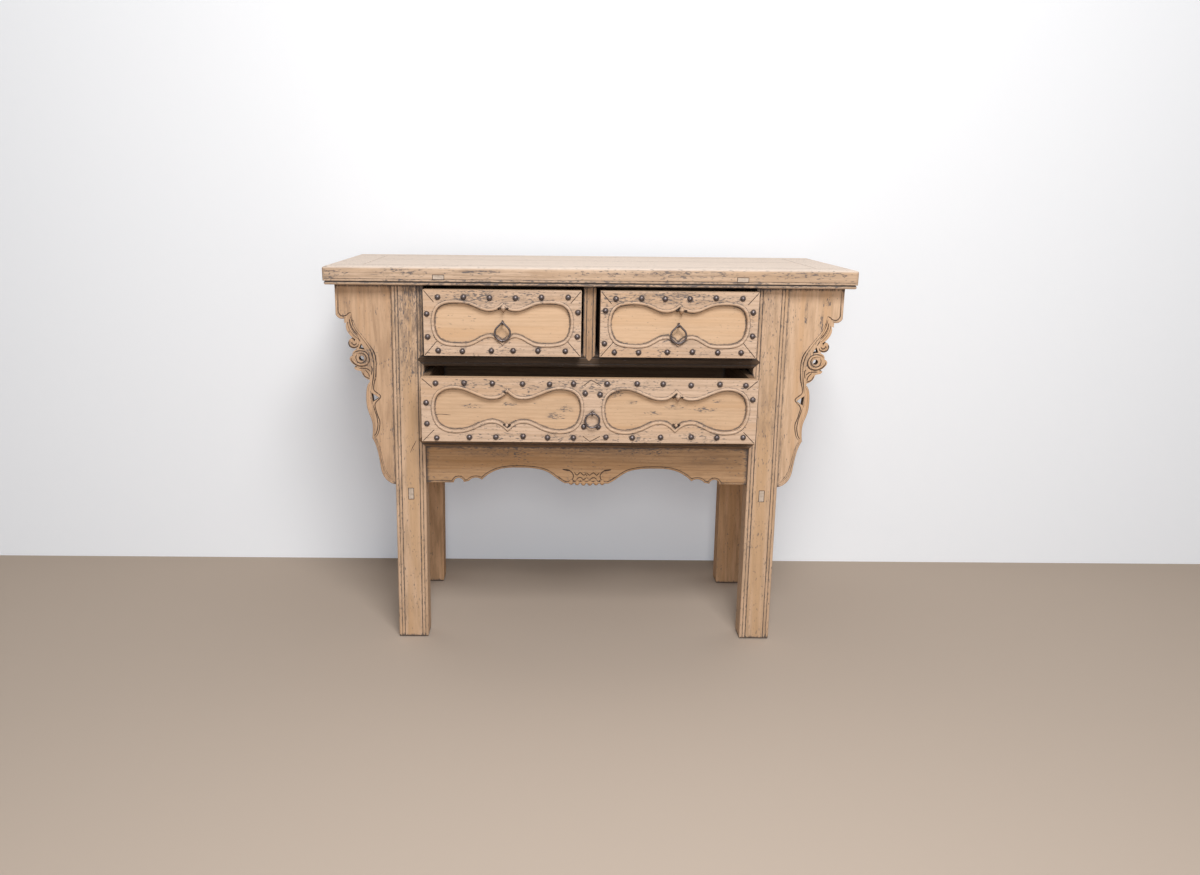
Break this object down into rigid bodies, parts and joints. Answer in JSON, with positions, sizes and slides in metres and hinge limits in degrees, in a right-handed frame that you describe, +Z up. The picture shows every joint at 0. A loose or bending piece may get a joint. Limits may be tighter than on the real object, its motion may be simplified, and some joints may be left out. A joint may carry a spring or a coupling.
{
  "type": "altar table",
  "caption": "Chinese altar table in plain elm: moulded top over splayed beaded legs, pierced scroll wings, panelled drawers with iron rings, and a scalloped apron.",
  "frame": {"origin": "middle of the floor area covered by the table with its drawers as far out as in the rest pose", "axes": "+X to the right as seen from the front, +Y to the back, +Z up; the drawers open along -Y"},
  "size_m": [1.17, 0.5457, 0.88],
  "materials": {
    "top_wood": "dry scrubbed elm, pale and slightly pink",
    "frame_wood": "dry elm with grey wear in the beads",
    "front_wood": "dry elm, warm tan with orange streaks",
    "inner_wood": "unfinished darker softwood",
    "iron": "hand-forged, dark, a little rust"
  },
  "bodies": {
    "carcass": {"top_front_rail": "top_wood", "top_back_rail": "top_wood", "top_end_board_left": "top_wood", "top_end_board_right": "top_wood", "top_board_front": "top_wood", "top_board_back": "top_wood", "leg_front_left": "frame_wood", "leg_front_right": "frame_wood", "wing_front_left": "frame_wood", "wing_front_right": "frame_wood", "mid_rail": "frame_wood", "bottom_rail": "frame_wood", "divider_post": "frame_wood", "apron": "frame_wood", "top_batten_left": "inner_wood", "top_batten_right": "inner_wood", "back_rail": "inner_wood", "back_panel": "inner_wood", "side_panel_left": "inner_wood", "side_panel_right": "inner_wood", "side_rail_left": "inner_wood", "side_rail_right": "inner_wood", "side_stretcher_left": "inner_wood", "side_stretcher_right": "inner_wood", "leg_rear_left": "inner_wood", "leg_rear_right": "inner_wood", "wing_rear_left": "inner_wood", "wing_rear_right": "inner_wood", "runner_upper_left": "inner_wood", "runner_upper_middle": "inner_wood", "runner_upper_right": "inner_wood", "runner_lower_left": "inner_wood", "runner_lower_right": "inner_wood"},
    "drawer_left": {"drawer_left_front": "front_wood", "drawer_left_moulding": "front_wood", "drawer_left_side_left": "inner_wood", "drawer_left_side_right": "inner_wood", "drawer_left_back": "inner_wood", "drawer_left_bottom": "inner_wood", "drawer_left_nails": "iron", "drawer_left_eye": "iron"},
    "ring_left": {"drawer_left_ring": "iron"},
    "drawer_right": {"drawer_right_front": "front_wood", "drawer_right_moulding": "front_wood", "drawer_right_side_left": "inner_wood", "drawer_right_side_right": "inner_wood", "drawer_right_back": "inner_wood", "drawer_right_bottom": "inner_wood", "drawer_right_nails": "iron", "drawer_right_eye": "iron"},
    "ring_right": {"drawer_right_ring": "iron"},
    "drawer_wide": {"drawer_wide_front": "front_wood", "drawer_wide_moulding": "front_wood", "drawer_wide_side_left": "inner_wood", "drawer_wide_side_right": "inner_wood", "drawer_wide_back": "inner_wood", "drawer_wide_bottom": "inner_wood", "drawer_wide_nails": "iron", "drawer_wide_eye": "iron"},
    "ring_wide": {"drawer_wide_ring": "iron"}
  },
  "joints": [
    {"name": "drawer_left_slide", "type": "slide", "parent": "carcass", "child": "drawer_left", "axis": [0, -1, 0], "range_m": [-0.035, 0.22]},
    {"name": "ring_left_hinge", "type": "hinge", "parent": "drawer_left", "child": "ring_left", "pos_m": [-0.19225, -0.22175, 0.76221], "axis": [-1, 0, 0], "range_deg": [0, 150]},
    {"name": "drawer_right_slide", "type": "slide", "parent": "carcass", "child": "drawer_right", "axis": [0, -1, 0], "range_m": [-0.035, 0.22]},
    {"name": "ring_right_hinge", "type": "hinge", "parent": "drawer_right", "child": "ring_right", "pos_m": [0.19451, -0.22175, 0.75991], "axis": [-1, 0, 0], "range_deg": [0, 150]},
    {"name": "drawer_wide_slide", "type": "slide", "parent": "carcass", "child": "drawer_wide", "axis": [0, -1, 0], "range_m": [-0.078, 0.18]},
    {"name": "ring_wide_hinge", "type": "hinge", "parent": "drawer_wide", "child": "ring_wide", "pos_m": [0.00666, -0.26695, 0.57128], "axis": [-1, 0, 0], "range_deg": [0, 150]}
  ]
}
